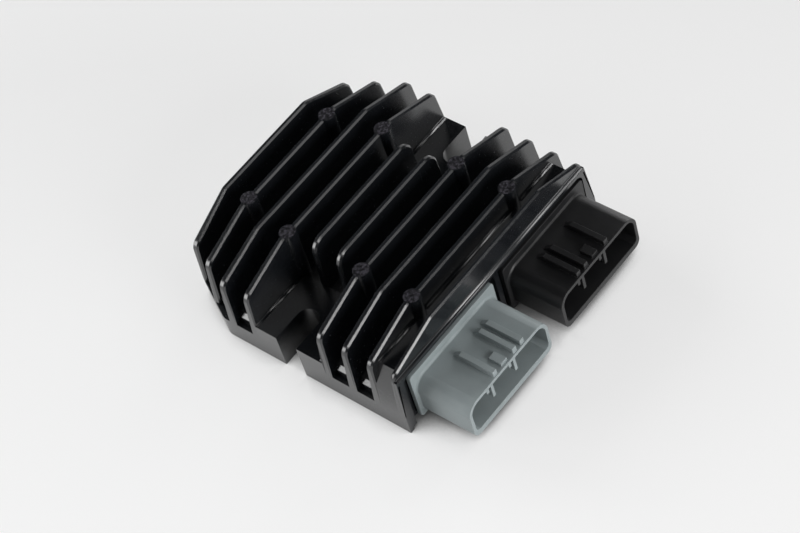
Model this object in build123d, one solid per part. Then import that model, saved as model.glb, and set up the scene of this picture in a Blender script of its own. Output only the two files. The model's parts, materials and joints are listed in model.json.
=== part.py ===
from build123d import *
import os

# Voltage regulator rectifier: a black die-cast heat sink with nine fins and a connector wall, two moulded
# three-blade sockets in that wall, and the power board potted into the hollow underside.
# Millimetres. Z is up, the base ring stands on Z = 0, the fins run along Y, the sockets open towards +X.

# Heat sink, overall
base_width = 90.0            # along the fins
base_thickness = 7.5         # from the floor to the ledge along the base's edge
valley_height = 11.0         # the floor between the fins, raised over the hollow
valley_inset = 1.9           # the ledge's width
valley_edge = 1.2            # chamfer along the raised floor
edge_to_first_fin = 2.6      # base edge to the centre of fin 1
corner_cut_x = 17.3          # the base's two cut corners, along X
corner_cut_y = 9.0           # and along Y
corner_round = 4.0           # rounds the ends of each corner cut

# Fins
fin_pitch = 9.25
fin_count = 9
fin_height = 30.8            # top of the fins above the floor
fin_tip = 1.8                # thickness at the top
fin_draft = 0.025            # each side widens by this much per millimetre downwards
fin_flat = 25.3              # half length of the level top
fin_end = 44.0               # half length at the shoulder
shoulder_height = 24.6
end_lean = 1.7               # how far the end edge leans out from shoulder to base
shoulder_round = 3.6
crest_round = 3.0            # where the level top turns into the slope
fin_edge = 0.5               # chamfer along the fins
rear_pull = {8: 0.3, 9: 0.6}  # the rear shoulder of these is this much nearer the middle
wall_rear_pull = 0.9         # and that of the connector wall
side_fins = {                # the two fins beside the cut corners: level half, end half, shoulder
    1: (18.7, 35.9, 22.4),
    2: (21.4, 40.2, 23.9),
}
short_fins = (5, 6)          # these stop before the mounting pads
short_fin_end = 22.4
short_fin_round = 4.5
short_fin_lean = 0.9

# Ejector posts on the fins
post_diameter = 5.2
post_inset = 3.3             # post centre back from the end of the level top
post_fins = (2, 4, 7, 9)

# Mounting pads and their open slots
pad_fins = (4, 7)            # the pads lie between these two
pad_height = 12.8
pad_inner = 22.9             # half distance between the pads
slot_width = 7.7
slot_depth = 9.8             # from the base edge to the centre of the slot's round end
slot_offset = -0.8           # slot centre beside the middle of the pad

# Connector wall and the roofed housing behind it
housing_width = 9.4          # centre of fin 9 to the wall's outer face
housing_height = 23.1
housing_top_half = 40.8      # half length of the roof
housing_brow_half = 44.2     # half length at the foot of the sloped brow
housing_brow_height = 17.0
wall_tip = 1.5
lip_proud = 0.6              # the frame round the sockets stands out this much
lip_depth = 1.0
lip_height = 22.7
groove_rim = 0.4             # upright groove at each end of the frame: from the wall's end
groove_width = 0.6
groove_depth = 1.3
groove_top = 21.0
recess_half = 41.9
recess_height = 21.2
recess_depth = 2.0
recess_round = 2.6
pillar_width = 1.8           # stands in the recess between the two sockets
pillar_set_back = 0.3
foot_relief = 1.2            # the wall's lower edge is lifted off the floor
foot_relief_half = 43.4

# Underside hollow
rim_wall = 4.6
ceiling = 8.2                # height of the hollow's flat top
housing_roof = 2.8
wall_thickness = 2.4         # connector wall behind the socket flanges
pad_wall = 1.6               # casting left between a mounting pad and the hollow
hollow_top_gap = 2.0         # casting left beside the hollow's top under the brows

# Sockets
socket_spacing = 42.75
socket_shift = 0.975         # the pair sits this far off the middle, along Y
socket_width = 36.0
socket_height = 13.65
socket_length = 18.9         # beyond the flange
socket_base = 3.0            # underside of the socket above the floor
socket_top_round = 4.5
socket_low_round = 2.5
socket_wall = 1.2            # at the top and the sides
socket_floor = 2.0           # at the bottom
mouth_low_round = 1.6
socket_root = 0.5            # chamfer where the socket leaves its flange
flange_width = 38.2
flange_height = 18.3
flange_base = 1.2
flange_round = 1.2
flange_proud = 0.1           # stands out from the lip
seal_thickness = 0.6
neck_width = 33.0
neck_height = 9.4
neck_length = 4.4
neck_clearance = 0.3
neck_round = 1.7
seal_inset = 0.4             # edge of the gasket inside the flange's edge
back_wall = 2.2              # floor of the socket's mouth
root = 0.5                   # ribs, blocks and necks start this far inside what carries them

# Ribs and keys on the sockets
rib_width = 1.7
rib_height = 1.9
rib_start = 3.9              # from the flange
rib_ramp = 2.4
rib_end_gap = 0.5            # from the rim
dc_ribs = (7.95, 4.6, -4.45)
ac_ribs = (5.0, -4.5, -8.0)
latch_width = 2.7
latch_length = 4.4
latch_height = 1.1
latch_end_gap = 0.8
dc_latch = 0.0
ac_latch = 0.05
key_offsets = (3.0, -7.2)
key_thickness = 1.1
key_height = 5.0
key_depth = 11.0
key_side_gap = 1.9
key_side_height = 1.5

# Blades
blade_pitch = 10.6
blade_shift = -1.5           # the middle blade beside the middle of its socket
blade_width = 6.3
blade_thickness = 0.8
blade_recess = 5.0           # tip back from the rim
blade_tip_taper = 1.0
blade_leg_gap = 0.8          # from the end of the neck to the bend
blade_foot = 7.0

# Board and what it carries
pad_film = 0.2
board_thickness = 1.0
board_start = 9.6            # from the base edge
board_side_gap = 1.7         # from the casting round the mounting pads
board_end_gap = 4.4          # from the connector wall's inner face
board_wing = 15.0            # wide part beside the sockets, along X
board_wing_gap = 3.4         # from the hollow's side
screw_diameter = 2.5
screw_head_diameter = 4.6
screw_head_height = 1.4
screw_length = 2.4           # of the shank, above the head
screw_inset = 2.6
device_length = 10.0
device_width = 8.6
device_height = 2.2
device_tab = 2.6
device_tab_thickness = 0.7
device_chamfer = 0.4
phases = "abc"               # one transistor of each row for each phase
device_rows = 9.4            # half distance between the two rows
device_pitch = 15.0
device_first = 13.5          # from the board's edge to the first device
lead_width = 1.0
lead_length = 1.6
lead_pitch = 2.9
lead_thickness = 0.6
bus_width = 2.6
bus_thickness = 1.2
bus_gap = 1.0                # from the board's long edge
chip_length = 3.2
chip_width = 1.6
chip_height = 0.9
chip_gap = 0.2
chip_chamfer = 0.2
ic_length = 9.9
ic_width = 6.0
ic_height = 1.8
ic_shift = 2.0               # from the middle of the wide part towards the transistors
capacitor_length = 5.7
capacitor_width = 5.0
capacitor_height = 2.2
capacitor_inset = 1.2
capacitor_gap = 0.6
diode_length = 7.0
diode_width = 5.8
diode_height = 2.2
shunt_length = 6.4
shunt_width = 3.2
shunt_height = 1.0
side_chip_shift = 2.5        # diode and shunt, as the control chip's shift
sensor_diameter = 2.0
sensor_height = 1.8
sensor_shift = 3.0
sensor_side = 10.5           # from the middle of the board
potting_level = 1.5          # surface of the potting above the floor

# Places worked out from the sizes above
base_length = edge_to_first_fin + (fin_count - 1) * fin_pitch + housing_width + lip_proud
overall_length = base_length + flange_proud + socket_length
x_left = -overall_length / 2
x_lip = x_left + base_length
x_wall = x_lip - lip_proud
x_recess = x_lip - recess_depth
x_inner_wall = x_recess - wall_thickness
x_flange = x_lip + flange_proud
x_mouth = x_flange + socket_length
x_blade_leg = x_recess - neck_length - blade_leg_gap
half_width = base_width / 2
slot_centre_y = half_width - slot_depth
dc_y = socket_shift - socket_spacing / 2
ac_y = socket_shift + socket_spacing / 2
socket_z = socket_base + socket_height / 2
board_top = ceiling - pad_film
board_face = board_top - board_thickness
screw_top = board_face + screw_length
board_half = pad_inner - pad_wall - board_side_gap
board_wing_half = half_width - rim_wall - board_wing_gap
x_board = x_left + board_start
x_board_end = x_inner_wall - board_end_gap
big = 2 * base_width         # reach of a cutter that goes right through
past = 1.0                   # reach of a cutter past the face that it opens
tiny = 0.01                  # for picking out edges and corners by place


def fin_x(number):
    """Centre of a full fin, counted from the cut corners."""
    return x_left + edge_to_first_fin + (number - 1) * fin_pitch


pad_from, pad_to = (fin_x(number) for number in pad_fins)
slot_x = (pad_from + pad_to) / 2 + slot_offset


def slab(x_from, x_to, outline):
    """Solid between two X positions with a closed outline of (y, z) points."""
    face = make_face(Polyline(*outline, close=True))
    return extrude(Plane.YZ.offset(x_from) * face, amount=x_to - x_from)


def block(x_from, x_to, y_from, y_to, z_from, z_to):
    """Plain box between two corners."""
    size = (x_to - x_from, y_to - y_from, z_to - z_from)
    middle = ((x_from + x_to) / 2, (y_from + y_to) / 2, (z_from + z_to) / 2)
    return Pos(*middle) * Box(*size)


def rounded_block(x_from, x_to, y, z_from, width, height, radius):
    """Box along X whose section is a rounded rectangle centred on y."""
    face = RectangleRounded(width, height, radius)
    plane = Plane(origin=(x_from, y, z_from + height / 2), x_dir=(0, 1, 0), z_dir=(1, 0, 0))
    return extrude(plane * face, amount=x_to - x_from)


def shell_block(x_from, x_to, y, z_range, width, low_round, top_round):
    """Box along X whose section has smaller rounds at the bottom than at the top."""
    z_low, z_high = z_range
    low, high = y - width / 2, y + width / 2
    face = make_face(Polyline((low, z_low), (high, z_low), (high, z_high), (low, z_high), close=True))
    middle = (z_low + z_high) / 2
    face = fillet(face.vertices().filter_by(lambda v: v.Y < middle), low_round)
    face = fillet(face.vertices().filter_by(lambda v: v.Y > middle), top_round)
    return extrude(Plane.YZ.offset(x_from) * face, amount=x_to - x_from)


def only(shape):
    """The single solid of a result."""
    return shape.solids()[0]


def base_outline(inset):
    """Plan of the base, drawn inwards by inset, with its two corners cut and rounded."""
    x_far = x_wall
    points = [
        (x_left, -half_width + corner_cut_y),
        (x_left + corner_cut_x, -half_width),
        (x_far, -half_width),
        (x_far, half_width),
        (x_left + corner_cut_x, half_width),
        (x_left, half_width - corner_cut_y),
    ]
    face = make_face(Polyline(*points, close=True))
    cut_corners = face.vertices().filter_by(lambda v: v.X < x_left + corner_cut_x + tiny)
    face = fillet(cut_corners, corner_round)
    if inset:
        face = offset(face, -inset, kind=Kind.INTERSECTION)
    return face


def fin_side(flat_half, end_half, shoulder, pull=0.0):
    """Side view of a fin: level top, two long slopes, rounded shoulders, nearly upright ends."""
    top = fin_height
    foot = end_half + end_lean
    points = [
        (-flat_half, top),
        (flat_half, top),
        (end_half - pull, shoulder),
        (foot, base_thickness),
        (foot, base_thickness / 2),
        (-foot, base_thickness / 2),
        (-foot, base_thickness),
        (-end_half, shoulder),
    ]
    face = make_face(Polyline(*points, close=True))
    crests = face.vertices().filter_by(lambda v: v.Y > top - tiny)
    face = fillet(crests, crest_round)
    shoulders = face.vertices().filter_by(lambda v: abs(v.Y - shoulder) < tiny)
    return fillet(shoulders, shoulder_round)


def short_fin_side():
    """Side view of one of the two middle fins, with well-rounded top ends."""
    foot = short_fin_end + short_fin_lean
    points = [
        (-short_fin_end, fin_height),
        (short_fin_end, fin_height),
        (foot, base_thickness),
        (foot, base_thickness / 2),
        (-foot, base_thickness / 2),
        (-foot, base_thickness),
    ]
    face = make_face(Polyline(*points, close=True))
    return fillet(face.vertices().filter_by(lambda v: v.Y > fin_height - tiny), short_fin_round)


def fin(x, side, outer_face=None):
    """One drafted fin with chamfered edges; outer_face gives it one upright face there."""
    low = base_thickness / 2
    spread = (fin_height - low) * fin_draft
    tip_low, tip_high = x - fin_tip / 2, x + fin_tip / 2
    root_low, root_high = tip_low - spread, tip_high + spread
    if outer_face is not None:
        tip_low, tip_high = outer_face - wall_tip, outer_face
        root_low, root_high = tip_low - spread, outer_face
    section = [(root_low, low), (root_high, low), (tip_high, fin_height), (tip_low, fin_height)]
    wedge = extrude(Plane.XZ * make_face(Polyline(*section, close=True)), amount=big, both=True)
    plate = extrude(Plane.YZ.offset(x - fin_pitch / 2) * side, amount=fin_pitch)
    solid = only(wedge & plate)
    outline = [
        edge
        for edge in solid.edges()
        if abs(edge.tangent_at(0.5).X) < 0.5 and edge.center().Z > base_thickness + fin_edge
    ]
    return chamfer(outline, fin_edge)


def make_fins():
    """All fins and the wall that carries the sockets."""
    fins = []
    for number in range(1, fin_count + 1):
        if number in side_fins:
            side = fin_side(*side_fins[number])
        elif number in short_fins:
            side = short_fin_side()
        else:
            side = fin_side(fin_flat, fin_end, shoulder_height, rear_pull.get(number, 0.0))
        fins.append(fin(fin_x(number), side))
    fins.append(fin(x_wall - wall_tip / 2, wall_side(), outer_face=x_wall))
    return fins


def wall_side():
    """Side view of the connector wall, shared with the frame on it."""
    return fin_side(fin_flat, fin_end, shoulder_height, wall_rear_pull)


def make_valley():
    """Raised floor between the fins."""
    plate = extrude(base_outline(valley_inset), amount=valley_height)
    return chamfer(plate.faces().sort_by(Axis.Z)[-1].edges(), valley_edge)


def make_pillar():
    """Upright bar of the casting between the two sockets."""
    low = socket_shift - pillar_width / 2
    high = low + pillar_width
    return block(x_recess - past, x_lip - pillar_set_back, low, high, foot_relief, recess_height)


def make_posts():
    """Round ejector posts that rise beside the ends of four fins."""
    posts = []
    height = fin_height - base_thickness / 2
    for number in post_fins:
        flat_half = side_fins[number][0] if number in side_fins else fin_flat
        for side in (-1, 1):
            place = Pos(fin_x(number), side * (flat_half - post_inset), base_thickness / 2 + height / 2)
            posts.append(place * Cylinder(post_diameter / 2, height))
    return posts


def make_housing():
    """Roofed block between fin 9 and the wall, with sloped brows at both ends."""
    outline = [
        (-half_width, 0),
        (-half_width, base_thickness),
        (-housing_brow_half, housing_brow_height),
        (-housing_top_half, housing_height),
        (housing_top_half - wall_rear_pull, housing_height),
        (housing_brow_half - wall_rear_pull, housing_brow_height),
        (half_width, base_thickness),
        (half_width, 0),
    ]
    return slab(fin_x(fin_count), x_wall - wall_tip / 2, outline)


def make_lip():
    """Frame that stands proud of the wall round the sockets."""
    plate = extrude(Plane.YZ.offset(x_lip - lip_depth) * wall_side(), amount=lip_depth)
    plate &= block(x_lip - lip_depth, x_lip, -big, big, 0, lip_height)
    foot = block(x_lip - lip_depth, x_lip, -half_width, half_width, 0, base_thickness)
    return plate + foot


def groove(side):
    """Cutter for the upright groove between the frame and one end of the wall."""
    outline = []
    for z, inset in ((base_thickness, 0), (groove_top, 0), (groove_top, 1), (base_thickness, 1)):
        rise = (z - base_thickness) / (shoulder_height - base_thickness)
        pull = wall_rear_pull if side > 0 else 0.0
        end = fin_end + end_lean - rise * (end_lean + pull)
        outline.append((side * (end - groove_rim - inset * groove_width), z))
    return slab(x_lip - groove_depth, x_lip + past, outline)


def make_pads():
    """Two raised mounting pads."""
    pads = []
    for side in (-1, 1):
        low, high = sorted((side * pad_inner, side * half_width))
        pads.append(block(pad_from, pad_to, low, high, 0, pad_height))
    return pads


def slot_cut(side):
    """Cutter for one open slot through a mounting pad."""
    round_end = Pos(slot_x, side * slot_centre_y, 0) * Cylinder(slot_width / 2, big)
    low, high = sorted((side * slot_centre_y, side * big))
    return round_end + block(slot_x - slot_width / 2, slot_x + slot_width / 2, low, high, -big, big)


def make_hollow(floor_z):
    """The space inside the casting, from floor_z up to its ceilings."""
    plan = base_outline(rim_wall)
    hollow = extrude(Plane.XY.offset(floor_z) * plan, amount=ceiling - floor_z)
    hollow &= block(-big, x_inner_wall, -big, big, floor_z, ceiling)
    for side in (-1, 1):
        low, high = sorted((side * (pad_inner - pad_wall), side * big))
        hollow -= block(pad_from - pad_wall, pad_to + pad_wall, low, high, floor_z - past, ceiling + past)
    x_housing = fin_x(fin_count) + fin_tip / 2 + (fin_height - base_thickness) * fin_draft
    half = half_width - rim_wall
    top_half = housing_top_half - hollow_top_gap
    roof = housing_height - housing_roof
    room = [
        (-half, floor_z),
        (half, floor_z),
        (half, ceiling),
        (top_half - wall_rear_pull, roof),
        (-top_half, roof),
        (-half, ceiling),
    ]
    return only(hollow + slab(x_housing, x_inner_wall, room))


def screw_places():
    """Centres of the four board screws."""
    x_near = x_board + screw_inset
    x_far = x_board_end - board_wing + screw_inset
    y_far = board_wing_half - screw_inset
    y_near = board_half - screw_inset
    return [(x_near, -y_near), (x_near, y_near), (x_far, -y_far), (x_far, y_far)]


def make_heat_sink():
    """The casting: base, fins, housing, lip, pads, posts, and everything cut into it."""
    body = extrude(base_outline(0), amount=base_thickness)
    body += make_fins() + make_posts() + make_pads()
    body += [make_valley(), make_housing(), make_lip()]
    for side in (-1, 1):
        body -= slot_cut(side)
        body -= groove(side)
    body -= make_hollow(-past)
    recess_width, recess_tall = 2 * recess_half, 2 * recess_height
    body -= rounded_block(x_recess, x_lip + past, 0, -recess_height, recess_width, recess_tall, recess_round)
    body -= block(x_inner_wall, x_lip + past, -foot_relief_half, foot_relief_half, -past, foot_relief)
    for y in (dc_y, ac_y):
        body -= neck_window(x_inner_wall - past, x_recess + past, y)
    for x, y in screw_places():
        body -= Pos(x, y, screw_top / 2) * Cylinder(screw_diameter / 2, screw_top)
    return only(body + make_pillar())


def neck_window(x_from, x_to, y):
    """Cutter for the opening that a socket's neck passes through."""
    width = neck_width + 2 * neck_clearance
    height = neck_height + 2 * neck_clearance
    return rounded_block(x_from, x_to, y, socket_z - height / 2, width, height, neck_round + neck_clearance)


def rib(y, z):
    """One long rib on top of a socket, ramped at the flange end."""
    start, end = x_flange + rib_start, x_mouth - rib_end_gap
    outline = [
        (start, z - root),
        (end, z - root),
        (end, z + rib_height),
        (start + rib_ramp, z + rib_height),
        (start, z),
    ]
    face = make_face(Polyline(*outline, close=True))
    plane = Plane(origin=(0, y + rib_width / 2, 0), x_dir=(1, 0, 0), z_dir=(0, -1, 0))
    return extrude(plane * face, amount=rib_width)


def make_socket(y, ribs, latch):
    """One moulded socket: neck, flange, shell open towards +X, ribs, latch block and inner keys."""
    x_back = x_recess + seal_thickness
    top = socket_base + socket_height
    flange = rounded_block(x_back, x_flange, y, flange_base, flange_width, flange_height, flange_round)
    outer = (socket_base, top)
    shell = shell_block(
        x_flange - root, x_mouth, y, outer, socket_width, socket_low_round, socket_top_round
    )
    body = flange + shell
    joint = [
        edge
        for edge in body.edges()
        if abs(edge.center().X - x_flange) < tiny
        and abs(edge.center().Y - y) < socket_width / 2 + tiny
        and socket_base - tiny < edge.center().Z < top + tiny
    ]
    body = chamfer(joint, socket_root)
    neck_z, neck_end = socket_z - neck_height / 2, x_recess - neck_length
    body += rounded_block(neck_end, x_back + root, y, neck_z, neck_width, neck_height, neck_round)
    inner = (socket_base + socket_floor, top - socket_wall)
    inner_width = socket_width - 2 * socket_wall
    inner_round = socket_top_round - socket_wall
    x_floor = x_lip + back_wall
    body -= shell_block(x_floor, x_mouth + past, y, inner, inner_width, mouth_low_round, inner_round)
    for place in ribs:
        body += rib(y + place, top)
    latch_x = x_mouth - latch_end_gap
    low = y + latch - latch_width / 2
    body += block(latch_x - latch_length, latch_x, low, low + latch_width, top - root, top + latch_height)
    inner_top = top - socket_wall
    for place in key_offsets:
        for shift, height in ((0, key_height), (-key_side_gap, key_side_height)):
            low = y + place + shift - key_thickness / 2
            high = low + key_thickness
            body += block(x_mouth - key_depth, x_mouth, low, high, inner_top - height, inner_top + root)
    for place in (-1, 0, 1):
        body -= blade_cut(blade_y(y, place))
    return only(body)


def blade_y(y, place):
    """Centre of one of a socket's three blades: place -1, 0 or 1."""
    return y + blade_shift + place * blade_pitch


def blade_cut(y):
    """Slit that a blade passes through."""
    low, high = y - blade_width / 2, y + blade_width / 2
    z_low, z_high = socket_z - blade_thickness / 2, socket_z + blade_thickness / 2
    return block(x_recess - neck_length - past, x_mouth, low, high, z_low, z_high)


def make_blade(y):
    """Flat blade, bent down behind the wall and out onto the board."""
    low, high = socket_z - blade_thickness / 2, socket_z + blade_thickness / 2
    x_tip = x_mouth - blade_recess
    foot_low = board_face - blade_thickness
    side = [
        (x_blade_leg, high),
        (x_tip - blade_tip_taper, high),
        (x_tip, socket_z + blade_thickness / 8),
        (x_tip, socket_z - blade_thickness / 8),
        (x_tip - blade_tip_taper, low),
        (x_blade_leg + blade_thickness, low),
        (x_blade_leg + blade_thickness, foot_low),
        (x_blade_leg - blade_foot, foot_low),
        (x_blade_leg - blade_foot, board_face),
        (x_blade_leg, board_face),
    ]
    face = make_face(Polyline(*side, close=True))
    plane = Plane(origin=(0, y + blade_width / 2, 0), x_dir=(1, 0, 0), z_dir=(0, -1, 0))
    return only(extrude(plane * face, amount=blade_width))


def make_seal(y):
    """Flat gasket between a socket's flange and the casting."""
    width, height = flange_width - 2 * seal_inset, flange_height - 2 * seal_inset
    x_front, z_low = x_recess + seal_thickness, flange_base + seal_inset
    plate = rounded_block(x_recess, x_front, y, z_low, width, height, flange_round - seal_inset)
    return only(plate - neck_window(x_recess - past, x_flange, y))


def make_board(z_from, z_to):
    """T-shaped plate with its screw holes, used for the board and its thermal film."""
    plate = block(x_board, x_board_end, -board_half, board_half, z_from, z_to)
    plate += block(x_board_end - board_wing, x_board_end, -board_wing_half, board_wing_half, z_from, z_to)
    for x, y in screw_places():
        plate -= Pos(x, y, (z_from + z_to) / 2) * Cylinder(screw_diameter / 2, z_to - z_from + past)
    return only(plate)


def make_screws():
    """The four board screws, in one group."""
    screws = []
    for x, y in screw_places():
        head_z = board_face - screw_head_height / 2
        head = Pos(x, y, head_z) * Cylinder(screw_head_diameter / 2, screw_head_height)
        shank = Pos(x, y, board_face + screw_length / 2) * Cylinder(screw_diameter / 2, screw_length)
        screws.append(only(head + shank))
    return Compound(screws)


def make_device(x, row):
    """Flat power transistor: moulded body, metal tab towards the middle, three leads outwards."""
    y = row * device_rows
    half, reach = device_width / 2, device_length / 2
    body = block(x - half, x + half, y - reach, y + reach, board_face - device_height, board_face)
    body = chamfer(body.faces().sort_by(Axis.Z)[0].edges(), device_chamfer)
    tab_from, tab_to = sorted((y - row * reach, y - row * (reach + device_tab)))
    body += block(x - half, x + half, tab_from, tab_to, board_face - device_tab_thickness, board_face)
    lead_from, lead_to = sorted((y + row * reach, y + row * (reach + lead_length)))
    for place in (-1, 0, 1):
        low = x + place * lead_pitch - lead_width / 2
        body += block(low, low + lead_width, lead_from, lead_to, board_face - lead_thickness, board_face)
    return only(body)


def chip(x, y, length, width, height):
    """Small part that lies on the board's lower face."""
    half, reach = length / 2, width / 2
    body = block(x - half, x + half, y - reach, y + reach, board_face - height, board_face)
    return only(chamfer(body.faces().sort_by(Axis.Z)[0].edges(), chip_chamfer))


def device_x(number):
    """Centre of a column of power transistors."""
    return x_board + device_first + number * device_pitch


def make_parts():
    """Every separate piece, by name."""
    parts = {"heat_sink": make_heat_sink()}
    parts["dc_connector_housing"] = make_socket(dc_y, dc_ribs, dc_latch)
    parts["ac_connector_housing"] = make_socket(ac_y, ac_ribs, ac_latch)
    parts["dc_flange_seal"] = make_seal(dc_y)
    parts["ac_flange_seal"] = make_seal(ac_y)
    for name, place in (("dc_ground_blade", -1), ("dc_sense_blade", 0), ("dc_positive_blade", 1)):
        parts[name] = make_blade(blade_y(dc_y, place))
    for name, place in (("phase_a_blade", -1), ("phase_b_blade", 0), ("phase_c_blade", 1)):
        parts[name] = make_blade(blade_y(ac_y, place))
    parts["thermal_film"] = make_board(board_top, ceiling)
    parts["circuit_board"] = make_board(board_face, board_top)
    parts["board_screws"] = make_screws()
    for number, phase in enumerate(phases):
        parts[f"high_side_transistor_{phase}"] = make_device(device_x(number), 1)
        parts[f"low_side_transistor_{phase}"] = make_device(device_x(number), -1)
    bus_y = board_half - bus_gap - bus_width / 2
    first, last = device_x(0), device_x(len(phases) - 1)
    bus_x = (first + last) / 2
    bus_length = last - first + device_width
    parts["positive_bus_bar"] = chip(bus_x, bus_y, bus_length, bus_width, bus_thickness)
    parts["negative_bus_bar"] = chip(bus_x, -bus_y, bus_length, bus_width, bus_thickness)
    wing_x = x_board_end - board_wing / 2
    parts["control_ic"] = chip(wing_x - ic_shift, 0, ic_width, ic_length, ic_height)
    resistors = []
    for number in range(len(phases)):
        x = device_x(number) - device_width / 2 - chip_gap - chip_width / 2
        for row in (-1, 1):
            resistors.append(chip(x, row * device_rows, chip_width, chip_length, chip_height))
    parts["gate_resistors"] = Compound(resistors)
    capacitors = []
    for place in (-1, 0, 1):
        x = x_board + capacitor_inset + capacitor_length / 2
        y = place * (capacitor_width + capacitor_gap)
        capacitors.append(chip(x, y, capacitor_length, capacitor_width, capacitor_height))
    parts["filter_capacitors"] = Compound(capacitors)
    side_x = wing_x - side_chip_shift
    parts["clamp_diode"] = chip(side_x, -board_half, diode_width, diode_length, diode_height)
    parts["current_shunt"] = chip(side_x, board_half, shunt_width, shunt_length, shunt_height)
    sensor_place = Pos(wing_x - sensor_shift, sensor_side, board_face - sensor_height / 2)
    parts["temperature_sensor"] = only(sensor_place * Cylinder(sensor_diameter / 2, sensor_height))
    potting = make_hollow(potting_level)
    for name, piece in parts.items():
        if name != "heat_sink":
            potting -= piece
    parts["potting_compound"] = potting
    return parts


def main():
    os.makedirs("parts", exist_ok=True)
    for name, piece in make_parts().items():
        export_step(piece, f"parts/{name}.step")
        print(name, len(piece.solids()), "solid", round(piece.volume, 1), "mm3")


main()
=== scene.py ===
import json
import math

import bmesh
import bpy
from mathutils import Matrix, Vector


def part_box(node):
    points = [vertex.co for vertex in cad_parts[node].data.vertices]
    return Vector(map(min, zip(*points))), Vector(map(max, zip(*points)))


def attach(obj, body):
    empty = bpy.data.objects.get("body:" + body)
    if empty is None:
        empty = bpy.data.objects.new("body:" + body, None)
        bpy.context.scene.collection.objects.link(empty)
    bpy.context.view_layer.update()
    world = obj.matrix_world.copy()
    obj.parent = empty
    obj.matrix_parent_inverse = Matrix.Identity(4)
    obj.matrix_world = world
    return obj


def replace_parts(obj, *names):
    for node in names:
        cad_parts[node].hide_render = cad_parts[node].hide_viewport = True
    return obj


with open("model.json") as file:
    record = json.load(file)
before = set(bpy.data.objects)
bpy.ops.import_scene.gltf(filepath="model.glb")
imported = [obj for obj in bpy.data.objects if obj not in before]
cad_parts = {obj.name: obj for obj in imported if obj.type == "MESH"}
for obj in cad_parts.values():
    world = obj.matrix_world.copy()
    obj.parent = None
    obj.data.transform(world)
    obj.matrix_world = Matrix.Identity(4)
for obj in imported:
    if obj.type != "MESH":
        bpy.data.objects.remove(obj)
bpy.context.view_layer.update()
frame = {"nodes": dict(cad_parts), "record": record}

# Looks of a finned voltage regulator rectifier with a grey and a black socket, on a pale studio floor
MM = 0.001
NODES = frame["nodes"]
CASTING_LOW, CASTING_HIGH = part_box("heat_sink")

# Camera of the photograph, from a fit of the fins' lines; metres in the part's own frame
CAMERA_PLACE = (0.3721, -0.2817, 0.5643)
CAMERA_RIGHT = (0.76381, 0.61132, -0.20709)
CAMERA_UP = (-0.38987, 0.69268, 0.60681)
CAMERA_FORWARD = (-0.51439, 0.38275, -0.76740)
FOCAL_LENGTH = 2495.67       # pixels of the photograph
IMAGE_WIDTH = 800            # pixels
SENSOR_WIDTH = 36.0          # mm, as a lens is given in Blender
NEAREST_VIEW = 10 * MM

# Floor and backdrop; the floor is part pale paper, part glow
FLOOR_HALF = 6.0
FLOOR_COLOUR = 0.82
BACKDROP = 0.85
GLOW_SHARE = 0.7
GLOSS_GLOW = 1.0             # the glow as the object's gloss sees it
SWEEP_LEVELS = (0.80, 0.97)  # painted light: the glow as the camera sees it, darker on the far side and brighter on the near side, standing in for the lamps' fall-off
SWEEP_REACH = 100 * MM       # half of the stretch over which the painted light rises
SWEEP_WAY = (0.62, -0.78, 0.0)  # the way in which the painted light rises
SHADE_REACH = 12 * MM        # the floor's glow is darkened, as painted shade, where the object shuts the floor in within this distance
SHADE_RANGE = (0.3, 0.65)    # openness of the floor over which the painted shade fades back to the full glow
SHADE_SAMPLES = 8

# Lamps: name, azimuth and elevation in degrees, power in watts
LAMP_DISTANCE = 1.4
LAMP_SIDE = 0.8
LAMPS = [
    ("left", 180, 18, 21.8),
    ("right", 0, 18, 15.9),
    ("front_left", 225, 18, 10.7),
    ("back", 90, 18, 9.3),
    ("back_right", 45, 50, 2.9),
    ("back_left", 135, 18, 1.5),
    ("front", 270, 18, 1.1),
]

# Ejector posts: middles of the four at the rear, which those at the front mirror
POSTS = [
    (-40.95 * MM, 18.1 * MM, 0.0),
    (-22.45 * MM, 22.0 * MM, 0.0),
    (5.3 * MM, 22.0 * MM, 0.0),
    (23.8 * MM, 22.0 * MM, 0.0),
]
POST_RADIUS = 2.6 * MM
SCUFF_INSET = 0.15 * MM      # the scuffed disc ends this far inside the post's rim
SCUFF_DEPTH = 0.05 * MM      # only what is this near to the casting's highest point is scuffed

# Base plate of the casting
BASE_HALF = 45.0 * MM        # half width, along Y
BASE_TOP = 7.5 * MM
CORNER_HALF = 36.0 * MM      # half width at the left edge, between the two cut corners
CORNER_LENGTH = 17.3 * MM    # length of a cut corner, along X

# Hollow rounds at the feet of the fins, and which inner corners of the casting get one
FOOT_ROUND = 0.9 * MM
FOOT_POINTS = 5              # points along the round's curve
FOOT_LOWEST = 12.0 * MM      # height of the lower end: the pads and the housing's roof are above this
FOOT_LENGTH = 4.0 * MM       # least length
FOOT_ALONG = 0.9             # least cosine of the angle to the Y axis
FOOT_FACE = 15.0 * MM * MM   # least area of each of the two faces that meet there
FOOT_TURN = (60, 110)        # range of the angle between their normals, in degrees

# Mesh clean-up, and the rounded edges of the two sockets
MERGE = 0.002 * MM           # points nearer to each other than this are one
SLIVER = 0.01 * MM           # faces thinner than this are closed up
HEIGHT_MARGIN = 0.1 * MM     # points this little above the base's top still belong to it
SAME_PLANE = math.radians(0.5)
CASTING_CREASE = math.radians(26)
SOCKETS = ("dc_connector_housing", "ac_connector_housing")
EDGE_WIDTH = 0.25 * MM
EDGE_SEGMENTS = 3
EDGE_CREASE = math.radians(22)

# Dark and light colour of the black coating, and of the scuffed post tops
COAT_DARK, COAT_LIGHT = (0.0052, 0.0060, 0.0074), (0.0080, 0.0092, 0.0112)
SCUFF_DARK, SCUFF_LIGHT = (0.004, 0.004, 0.005), (0.040, 0.038, 0.046)

# How much the roughness varies: to each side in a moulding, and upwards in a metal
MOULDING_SPREAD = 0.05
METAL_SPREAD = 0.08

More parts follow.
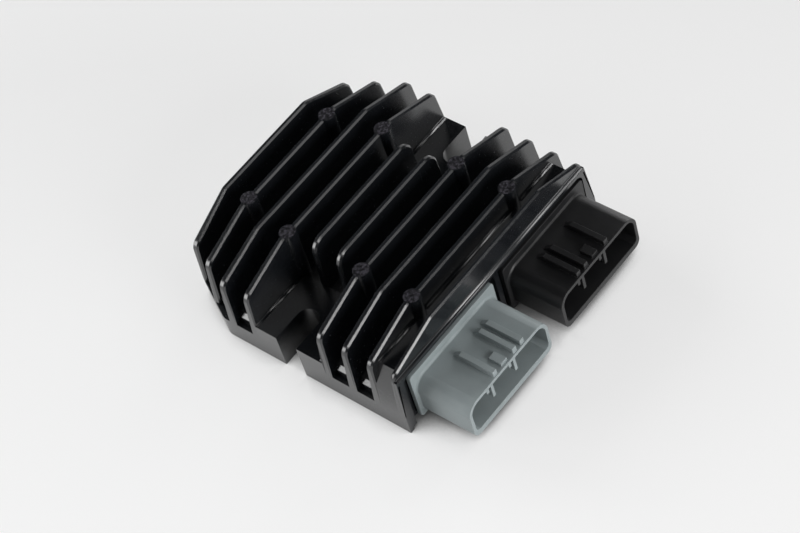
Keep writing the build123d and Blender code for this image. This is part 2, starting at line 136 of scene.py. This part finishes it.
# Mouldings: slot, then name, dark and light colour, and roughness
MOULDINGS = {
    "grey_plastic": ("grey_moulding", (0.250, 0.286, 0.292), (0.280, 0.319, 0.326), 0.55),
    "black_plastic": ("black_moulding", (0.0075, 0.0076, 0.0082), (0.0105, 0.0106, 0.0115), 0.45),
    "seal_rubber": ("seal_rubber", (0.010, 0.010, 0.010), (0.016, 0.016, 0.016), 0.8),
    "film": ("thermal_film", (0.50, 0.51, 0.49), (0.58, 0.59, 0.57), 0.7),
    "device_plastic": ("device_epoxy", (0.020, 0.020, 0.022), (0.032, 0.032, 0.035), 0.6),
    "ceramic": ("fired_ceramic", (0.50, 0.42, 0.30), (0.60, 0.50, 0.36), 0.4),
    "potting": ("potting_resin", (0.016, 0.016, 0.018), (0.026, 0.026, 0.029), 0.35),
}

# Metals: slot, then name, dark and light colour, roughness, and size of the grain
METALS = {
    "tinned_blade": ("tinned_blade", (0.62, 0.62, 0.60), (0.74, 0.74, 0.72), 0.3, 0.6 * MM),
    "board": ("board_metal", (0.66, 0.67, 0.68), (0.75, 0.76, 0.77), 0.35, 0.8 * MM),
    "screw_steel": ("screw_steel", (0.50, 0.50, 0.50), (0.62, 0.62, 0.62), 0.32, 0.4 * MM),
    "copper": ("copper", (0.72, 0.36, 0.22), (0.85, 0.46, 0.30), 0.28, 0.8 * MM),
}

# Which sockets of the Mix node hold the first, the second and the result, for numbers and for colours
MIX_SOCKETS = {"FLOAT": (2, 3, 0), "RGBA": (6, 7, 2)}


def grey(level):
    """Opaque grey."""
    return (level, level, level, 1.0)


def add_object(name, data):
    """New object in the scene."""
    thing = bpy.data.objects.new(name, data)
    bpy.context.scene.collection.objects.link(thing)
    return thing


class Finish:
    """A new material, with a short call for each kind of node that the finishes use."""

    def __init__(self, name):
        self.material = bpy.data.materials.new(name)
        self.material.use_nodes = True
        self.tree = self.material.node_tree
        self.tree.nodes.clear()
        self.place = self.node("TexCoord").outputs["Object"]

    def node(self, kind, inputs=None, **settings):
        """New node; settings are its options, and each input is a fixed value or the output that feeds it."""
        node = self.tree.nodes.new("ShaderNode" + kind)
        for option, choice in settings.items():
            setattr(node, option, choice)
        for socket, source in (inputs or {}).items():
            if isinstance(source, bpy.types.NodeSocket):
                self.tree.links.new(source, node.inputs[socket])
            else:
                node.inputs[socket].default_value = source
        return node

    def noise(self, size, detail=3.0):
        """Noise whose features are about size metres across."""
        inputs = {"Vector": self.place, "Scale": 1.0 / size, "Detail": detail}
        return self.node("TexNoise", inputs).outputs["Fac"]

    def ramp(self, value, first, last, span=(0.3, 0.7)):
        """Colour or grey that goes from first to last while value goes through span."""
        node = self.node("ValToRGB", {"Fac": value})
        for element, position, colour in zip(node.color_ramp.elements, span, (first, last)):
            element.position = position
            element.color = (*colour, 1.0) if isinstance(colour, tuple) else grey(colour)
        return node.outputs["Color"]

    def rescale(self, value, span, levels=(0.0, 1.0)):
        """Number that goes from the first level to the last while value goes through span."""
        ends = zip(("From Min", "From Max", "To Min", "To Max"), (*span, *levels))
        return self.node("MapRange", {"Value": value, **dict(ends)}).outputs["Result"]

    def bump(self, height, depth, strength, below=None):
        """Bumpy normal; below is the normal of a coarser bump."""
        inputs = {"Height": height, "Distance": depth, "Strength": strength}
        if below is not None:
            inputs["Normal"] = below
        return self.node("Bump", inputs).outputs["Normal"]

    def maths(self, operation, *terms):
        """Result of an operation on numbers."""
        return self.node("Math", dict(enumerate(terms)), operation=operation).outputs["Value"]

    def vector_maths(self, operation, *vectors):
        """Number from an operation on vectors."""
        return self.node("VectorMath", dict(enumerate(vectors)), operation=operation).outputs["Value"]

    def mix(self, kind, share, first, second):
        """What lies between first and second, at share; kind is FLOAT or RGBA."""
        start, end, result = MIX_SOCKETS[kind]
        return self.node("Mix", {0: share, start: first, end: second}, data_type=kind).outputs[result]

    def show(self, shader):
        """Put a shader on the output; gives the material."""
        self.node("OutputMaterial", {"Surface": shader})
        return self.material

    def principled(self, inputs):
        """Put a principled shader on the output; gives the material."""
        return self.show(self.node("BsdfPrincipled", inputs).outputs["BSDF"])


def post_tops(finish):
    """1 on the scuffed tops of the ejector posts, 0 elsewhere."""
    x, y, z = finish.node("SeparateXYZ", {"Vector": finish.place}).outputs
    plan = finish.node("CombineXYZ", {"X": x, "Y": finish.maths("ABSOLUTE", y)}).outputs["Vector"]
    nearest = 2 * BASE_HALF  # more than any place's distance from its nearest post
    for centre in POSTS:
        nearest = finish.maths("MINIMUM", nearest, finish.vector_maths("DISTANCE", plan, centre))
    disc = finish.maths("LESS_THAN", nearest, POST_RADIUS - SCUFF_INSET)
    high = finish.maths("GREATER_THAN", z, CASTING_HIGH.z - SCUFF_DEPTH)
    return finish.maths("MULTIPLY", disc, high)


def coated_casting():
    """Semi-gloss black coating over a die casting: faint orange peel, fine grain, scuffed post tops."""
    finish = Finish("black_coated_casting")
    coat = finish.ramp(finish.noise(size=9 * MM), COAT_DARK, COAT_LIGHT)
    scuff = finish.ramp(finish.noise(size=0.9 * MM), SCUFF_DARK, SCUFF_LIGHT, span=(0.38, 0.62))
    gloss = finish.ramp(finish.noise(size=0.7 * MM), first=0.19, last=0.28, span=(0.3, 0.75))
    peel = finish.bump(finish.noise(size=2.2 * MM, detail=2.0), depth=0.05 * MM, strength=0.13)
    grain = finish.noise(size=0.35 * MM, detail=2.0)
    return finish.principled({
        "Base Color": finish.mix("RGBA", post_tops(finish), coat, scuff),
        "Roughness": gloss,
        "Normal": finish.bump(grain, depth=0.02 * MM, strength=0.06, below=peel),
        "IOR": 1.8,
    })


def moulding(name, dark, light, roughness):
    """Fine matt moulding with a little flow variation."""
    finish = Finish(name)
    gloss = finish.noise(size=0.5 * MM, detail=2.0)
    skin = finish.noise(size=0.25 * MM, detail=2.0)
    return finish.principled({
        "Base Color": finish.ramp(finish.noise(size=7 * MM), dark, light),
        "Roughness": finish.ramp(gloss, first=roughness - MOULDING_SPREAD, last=roughness + MOULDING_SPREAD),
        "Normal": finish.bump(skin, depth=0.02 * MM, strength=0.4),
        "IOR": 1.47,
    })


def metal(name, dark, light, roughness, grain_size):
    """Metal with a fine grain in its colour and gloss."""
    finish = Finish(name)
    grain = finish.noise(grain_size)
    return finish.principled({
        "Base Color": finish.ramp(grain, dark, light),
        "Roughness": finish.ramp(grain, first=roughness + METAL_SPREAD, last=roughness),
        "Metallic": 1.0,
    })


def make_finishes():
    """One finish for each slot of the record."""
    finishes = {"black_cast_coating": coated_casting()}
    for slot, settings in MOULDINGS.items():
        finishes[slot] = moulding(*settings)
    for slot, settings in METALS.items():
        finishes[slot] = metal(*settings)
    return finishes


def soften_edges(piece):
    """Join what lies in one plane, and round every crease of a piece."""
    flat = piece.modifiers.new("flat", "DECIMATE")
    flat.decimate_type = "DISSOLVE"
    flat.angle_limit = SAME_PLANE
    bevel = piece.modifiers.new("edges", "BEVEL")
    bevel.width = EDGE_WIDTH
    bevel.segments = EDGE_SEGMENTS
    bevel.limit_method = "ANGLE"
    bevel.angle_limit = EDGE_CREASE
    bevel.use_clamp_overlap = True
    bevel.harden_normals = True


def dress_nodes(finishes):
    """Give every CAD node its finish, and soft edges to the sockets."""
    slots = {entry["node"]: entry["material_slot"] for entry in frame["record"]["subparts"]}
    for name, piece in NODES.items():
        piece.data.materials.clear()
        piece.data.materials.append(finishes[slots[name]])
        if name != "heat_sink":
            piece.modifiers.new("weld", "WELD").merge_threshold = MERGE
        if name in SOCKETS:
            soften_edges(piece)


def casting_mesh(name, body, finish):
    """Mesh of a bmesh as it now is, with the casting's finish."""
    mesh = bpy.data.meshes.new(name)
    body.to_mesh(mesh)
    mesh.materials.append(finish)
    return mesh


def casting_piece(mesh):
    """Piece of the casting, with the name of its mesh."""
    piece = add_object(mesh.name, mesh)
    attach(piece, "root")
    return piece


def half_width(point):
    """Half width of the casting where a point lies: the base's own, or less at a cut corner."""
    if point.z > BASE_TOP + HEIGHT_MARGIN:
        return BASE_HALF
    widening = (BASE_HALF - CORNER_HALF) / CORNER_LENGTH
    return min(BASE_HALF, CORNER_HALF + (point.x - CASTING_LOW.x) * widening)


def flush_casting(finish):
    """The casting as a closed piece of its own, with the feet of the fins cut flush with the base."""
    body = bmesh.new()
    body.from_mesh(NODES["heat_sink"].data)
    bmesh.ops.remove_doubles(body, verts=body.verts, dist=MERGE)
    for vert in body.verts:
        half = half_width(vert.co)
        vert.co.y = min(max(vert.co.y, -half), half)
    bmesh.ops.remove_doubles(body, verts=body.verts, dist=MERGE)
    bmesh.ops.dissolve_degenerate(body, dist=SLIVER, edges=body.edges)
    for face in body.faces:
        face.smooth = True
    for edge in body.edges:
        edge.smooth = edge.calc_face_angle(0.0) < CASTING_CREASE
    mesh = casting_mesh("finned_casting", body, finish)
    bmesh.ops.dissolve_limit(body, angle_limit=SAME_PLANE, verts=body.verts, edges=body.edges)
    foot_rounds(body, finish)
    body.free()
    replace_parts(casting_piece(mesh), "heat_sink")


def is_foot(edge):
    """Whether an edge is a long inner corner along Y, high enough, between two large faces."""
    if len(edge.link_faces) != 2 or edge.is_convex or edge.calc_length() < FOOT_LENGTH:
        return False
    start, end = (vert.co for vert in edge.verts)
    first, second = edge.link_faces
    turn = math.degrees(first.normal.angle(second.normal))
    return (
        min(start.z, end.z) >= FOOT_LOWEST
        and abs((end - start).normalized().y) >= FOOT_ALONG
        and FOOT_TURN[0] < turn < FOOT_TURN[1]
        and min(first.calc_area(), second.calc_area()) >= FOOT_FACE
    )


def add_strip(strips, edge):
    """Closed strip with a hollow face along one inner corner."""
    ends = [vert.co.copy() for vert in edge.verts]
    along = (ends[1] - ends[0]).normalized()
    ways = []
    for face, other in (edge.link_faces, reversed(edge.link_faces)):
        way = face.normal.cross(along)
        ways.append(way if way.dot(other.normal) > 0 else -way)
    rings = []
    for end in ends:
        ring = [end]
        for step in range(FOOT_POINTS):
            share = step / (FOOT_POINTS - 1)
            ring.append(end + FOOT_ROUND * ((1 - share) ** 2 * ways[0] + share ** 2 * ways[1]))
        rings.append([strips.verts.new(point) for point in ring])
    near, far = rings
    for i in range(len(near)):
        j = (i + 1) % len(near)
        side = strips.faces.new((near[i], near[j], far[j], far[i]))
        side.smooth = 1 <= i < FOOT_POINTS
    strips.faces.new(near)
    strips.faces.new(far)


def foot_rounds(body, finish):
    """Small hollow rounds along the inner corners of the casting, one closed strip for each corner line."""
    strips = bmesh.new()
    for edge in filter(is_foot, body.edges):
        add_strip(strips, edge)
    bmesh.ops.recalc_face_normals(strips, faces=strips.faces)
    casting_piece(casting_mesh("casting_foot_rounds", strips, finish))
    strips.free()


def floor_finish():
    """Pale studio sweep: its glow shows to the eye and to gloss only, so the shadows on it stay light. The
    glow carries painted shade near the object and a painted light fall-off across the floor.
    """
    finish = Finish("studio_floor")
    rays = finish.node("LightPath").outputs
    paper = finish.node("BsdfDiffuse", {"Color": grey(FLOOR_COLOUR)}).outputs["BSDF"]
    openness = finish.node("AmbientOcclusion", {"Distance": SHADE_REACH}, samples=SHADE_SAMPLES).outputs["AO"]
    # painted light: the camera's glow rises from the far side of the floor to the near side
    along = finish.vector_maths("DOT_PRODUCT", finish.place, SWEEP_WAY)
    sweep = finish.rescale(along, (-SWEEP_REACH, SWEEP_REACH), SWEEP_LEVELS)
    level = finish.mix("FLOAT", rays["Is Camera Ray"], GLOSS_GLOW, sweep)
    # painted shade: the glow is scaled down by ambient occlusion where the object shuts the floor in
    strength = finish.maths("MULTIPLY", finish.rescale(openness, SHADE_RANGE), level)
    glow = finish.node("Emission", {"Strength": strength}).outputs["Emission"]
    seen = finish.maths("MAXIMUM", rays["Is Glossy Ray"], rays["Is Transmission Ray"])
    seen = finish.maths("MAXIMUM", seen, rays["Is Camera Ray"])
    share = finish.maths("MULTIPLY", seen, GLOW_SHARE)
    return finish.show(finish.node("MixShader", {"Fac": share, 1: paper, 2: glow}).outputs["Shader"])


def make_floor():
    """Seamless pale floor."""
    mesh = bpy.data.meshes.new("floor")
    corners = [(FLOOR_HALF * x, FLOOR_HALF * y, 0) for x, y in ((-1, -1), (1, -1), (1, 1), (-1, 1))]
    mesh.from_pydata(corners, [], [(0, 1, 2, 3)])
    mesh.materials.append(floor_finish())
    add_object("floor", mesh)


def add_lamp(name, azimuth, elevation, power):
    """Soft square lamp that faces the object, out of the camera's sight."""
    data = bpy.data.lights.new(name, "AREA")
    data.shape = "SQUARE"
    data.size = LAMP_SIDE
    data.energy = power
    turn, rise = math.radians(azimuth), math.radians(elevation)
    flat = LAMP_DISTANCE * math.cos(rise)
    lamp = add_object(name, data)
    lamp.location = (flat * math.cos(turn), flat * math.sin(turn), LAMP_DISTANCE * math.sin(rise))
    lamp.rotation_euler = (-lamp.location).to_track_quat("-Z", "Y").to_euler()
    lamp.visible_camera = False


def light_studio():
    """Lamps round the object, in surroundings that only the camera sees as light."""
    world = bpy.data.worlds.new("studio")
    world.use_nodes = True
    tree = world.node_tree
    background = tree.nodes["Background"]
    background.inputs["Color"].default_value = grey(BACKDROP)
    rays = tree.nodes.new("ShaderNodeLightPath")
    tree.links.new(rays.outputs["Is Camera Ray"], background.inputs["Strength"])
    bpy.context.scene.world = world
    for settings in LAMPS:
        add_lamp(*settings)


def add_camera():
    """Camera at the photograph's place, with its lens."""
    data = bpy.data.cameras.new("camera")
    data.sensor_width = SENSOR_WIDTH
    data.lens = FOCAL_LENGTH * SENSOR_WIDTH / IMAGE_WIDTH
    data.clip_start = NEAREST_VIEW
    camera = add_object("camera", data)
    right, up, back = Vector(CAMERA_RIGHT), Vector(CAMERA_UP), -Vector(CAMERA_FORWARD)
    turn = Matrix((right, up, back)).transposed().to_4x4()
    camera.matrix_world = Matrix.Translation(CAMERA_PLACE) @ turn
    bpy.context.scene.camera = camera


bpy.context.scene.view_settings.view_transform = "Standard"
finishes = make_finishes()
dress_nodes(finishes)
flush_casting(finishes["black_cast_coating"])
make_floor()
light_studio()
add_camera()
